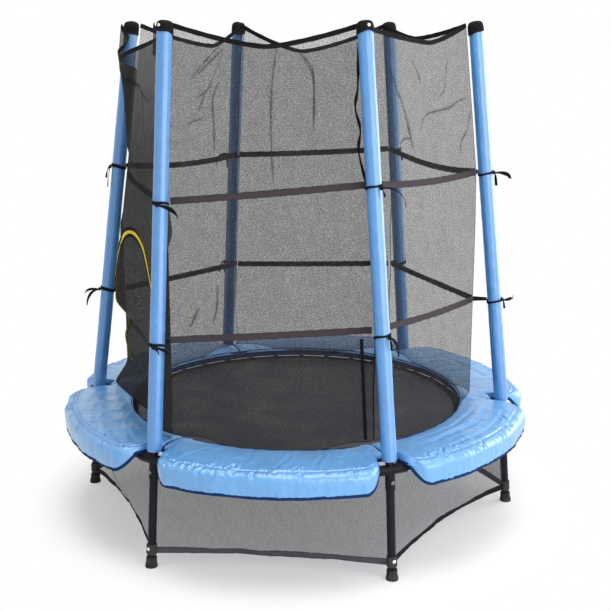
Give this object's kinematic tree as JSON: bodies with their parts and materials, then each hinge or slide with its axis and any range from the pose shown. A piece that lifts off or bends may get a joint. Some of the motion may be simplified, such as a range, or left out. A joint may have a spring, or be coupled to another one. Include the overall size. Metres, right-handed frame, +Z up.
{
  "type": "trampoline",
  "caption": "Round children's trampoline: spring-hung mat, padded spring cover, foam-sleeved poles leaning inwards, zipped safety net and mesh skirt.",
  "frame": {"origin": "on the floor, under the middle of the mat", "axes": "+Z up; +X towards one leg; the front, beside the door's side, faces -Y"},
  "size_m": [1.5188, 1.534, 1.5816],
  "materials": {
    "tube_paint": "satin",
    "rubber": "matte",
    "zinc": "satin",
    "foam_sleeve": "satin",
    "black_plastic": "satin",
    "jumping_mat": "matte",
    "webbing": "matte",
    "pad_vinyl": "gloss",
    "net_mesh": "matte",
    "zip_tape": "matte",
    "zip_plastic": "satin",
    "skirt_mesh": "matte"
  },
  "bodies": {
    "root": {"t_joint_right": "tube_paint", "t_joint_back_right": "tube_paint", "t_joint_back_left": "tube_paint", "t_joint_left": "tube_paint", "t_joint_front_left": "tube_paint", "t_joint_front_right": "tube_paint", "leg_right": "tube_paint", "leg_back_right": "tube_paint", "leg_back_left": "tube_paint", "leg_left": "tube_paint", "leg_front_left": "tube_paint", "leg_front_right": "tube_paint", "frame_rail_right_back": "tube_paint", "frame_rail_back": "tube_paint", "frame_rail_left_back": "tube_paint", "frame_rail_left_front": "tube_paint", "frame_rail_front": "tube_paint", "frame_rail_right_front": "tube_paint", "rubber_feet": "rubber", "joint_bolts": "zinc", "lower_pole_tubes": "tube_paint", "upper_pole_tubes": "tube_paint", "foam_sleeve_right": "foam_sleeve", "foam_sleeve_back_right": "foam_sleeve", "foam_sleeve_back_left": "foam_sleeve", "foam_sleeve_left": "foam_sleeve", "foam_sleeve_front_left": "foam_sleeve", "foam_sleeve_front_right": "foam_sleeve", "pole_caps": "black_plastic", "cap_screws": "zinc", "springs": "zinc", "spring_pad_right_back": "pad_vinyl", "spring_pad_back": "pad_vinyl", "spring_pad_left_back": "pad_vinyl", "spring_pad_left_front": "pad_vinyl", "spring_pad_front": "pad_vinyl", "spring_pad_right_front": "pad_vinyl", "net_panel_right_back": "net_mesh", "net_panel_back": "net_mesh", "net_panel_left_back": "net_mesh", "net_panel_left_front": "net_mesh", "net_panel_front": "net_mesh", "net_panel_right_front": "net_mesh", "net_top_binding": "webbing", "upper_band": "webbing", "lower_band": "webbing", "upper_ties": "webbing", "lower_ties": "webbing", "frame_zip_tape": "zip_tape", "skirt_panels": "skirt_mesh", "skirt_hem": "webbing", "leg_loops": "webbing", "loop_rivets": "zinc"},
    "mat": {"jumping_mat": "jumping_mat", "mat_hem": "webbing", "mat_rings": "zinc"},
    "door_flap": {"door_flap": "net_mesh", "flap_zip_tape": "zip_tape"},
    "zip_slider": {"zip_slider": "zip_plastic"},
    "zip_pull": {"zip_pull": "zip_plastic"}
  },
  "joints": [
    {"name": "mat_bounce", "type": "slide", "parent": "root", "child": "mat", "axis": [0, 0, 1], "range_m": [-0.12, 0], "stiffness_N_per_m": 3000, "springref_m": 0.003, "deforming": ["springs"]},
    {"name": "door_flap_hinge", "type": "hinge", "parent": "root", "child": "door_flap", "pos_m": [-0.4365, -0.25201, 0.47], "axis": [0.5, -0.866, 0], "range_deg": [0, 105]},
    {"name": "zip_slide", "type": "slide", "parent": "root", "child": "zip_slider", "axis": [-0.2362, 0.4091, 0.8814], "range_m": [0, 0.36]},
    {"name": "pull_swing", "type": "hinge", "parent": "zip_slider", "child": "zip_pull", "pos_m": [-0.34513, -0.42828, 0.49366], "axis": [-0.4407, 0.7633, -0.4723], "range_deg": [0, 150]}
  ]
}
